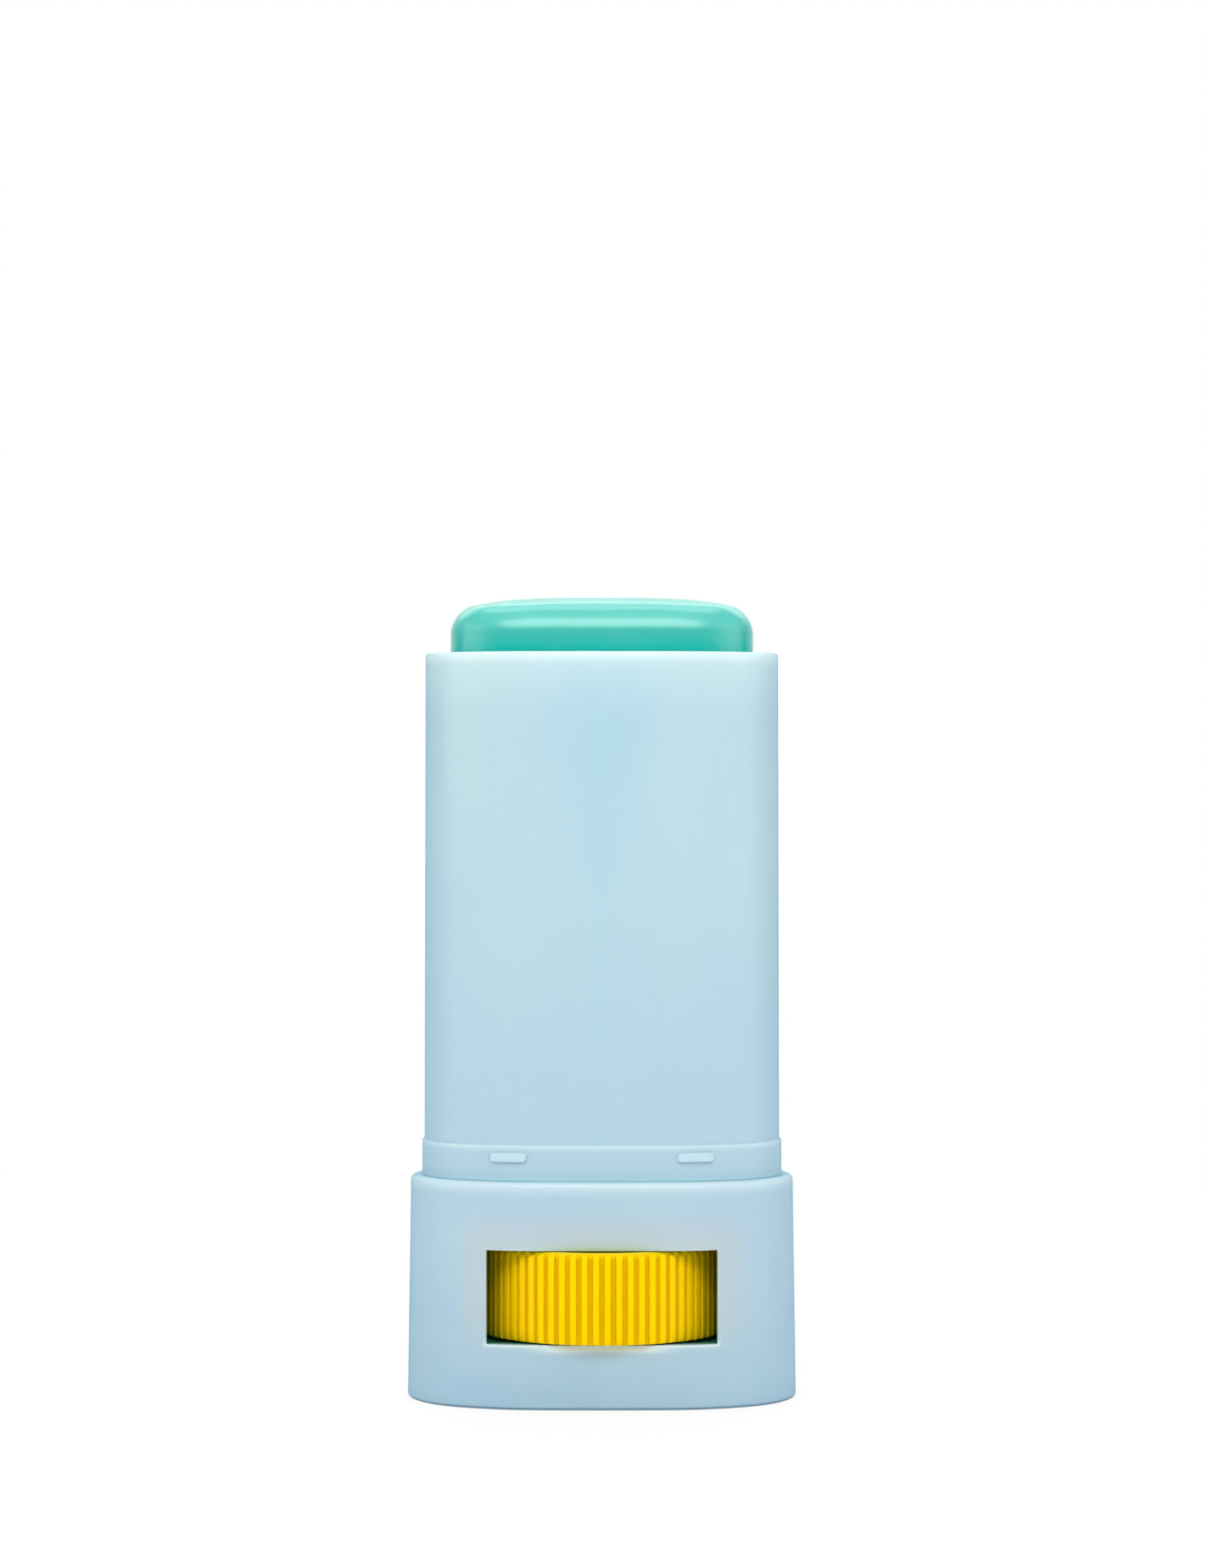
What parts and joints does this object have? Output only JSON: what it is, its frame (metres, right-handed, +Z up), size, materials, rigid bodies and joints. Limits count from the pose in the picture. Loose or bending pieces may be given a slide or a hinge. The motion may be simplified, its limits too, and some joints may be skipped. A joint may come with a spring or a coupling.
{
  "type": "sunscreen stick",
  "caption": "Uncapped twist-up sunscreen stick: oval barrel and base, ribbed thumb wheel in a window, and a domed balm that rises on a screw spindle.",
  "frame": {"origin": "middle of the foot, in the plane of the table", "axes": "+Z up along the spindle, +X to the right along the wide side, -Y towards the viewer of the front window"},
  "size_m": [0.0388, 0.024, 0.0797],
  "materials": {
    "shell_plastic": "satin, slightly see-through pale blue polypropylene",
    "barrel_plastic": "satin, slightly see-through pale blue polypropylene",
    "wheel_plastic": "satin yellow moulded plastic",
    "natural_plastic": "uncoloured milky moulded plastic",
    "balm": "smooth turquoise wax balm with a soft sheen"
  },
  "bodies": {
    "shell": {"base": "shell_plastic", "barrel": "barrel_plastic"},
    "drive": {"thumb_wheel": "wheel_plastic", "spindle": "natural_plastic"},
    "lift": {"carrier": "natural_plastic", "balm": "balm"}
  },
  "joints": [
    {"name": "wheel_turn", "type": "hinge", "parent": "shell", "child": "drive", "pos_m": [0, 0, 0.0109], "axis": [0, 0, 1], "range_deg": [-720, 4680]},
    {"name": "stick_lift", "type": "slide", "parent": "shell", "child": "lift", "axis": [0, 0, 1], "range_m": [-0.006, 0.039]}
  ],
  "couplings": [
    {"joint": "stick_lift", "follows": "wheel_turn", "m_per_rad": 0.00047746}
  ]
}
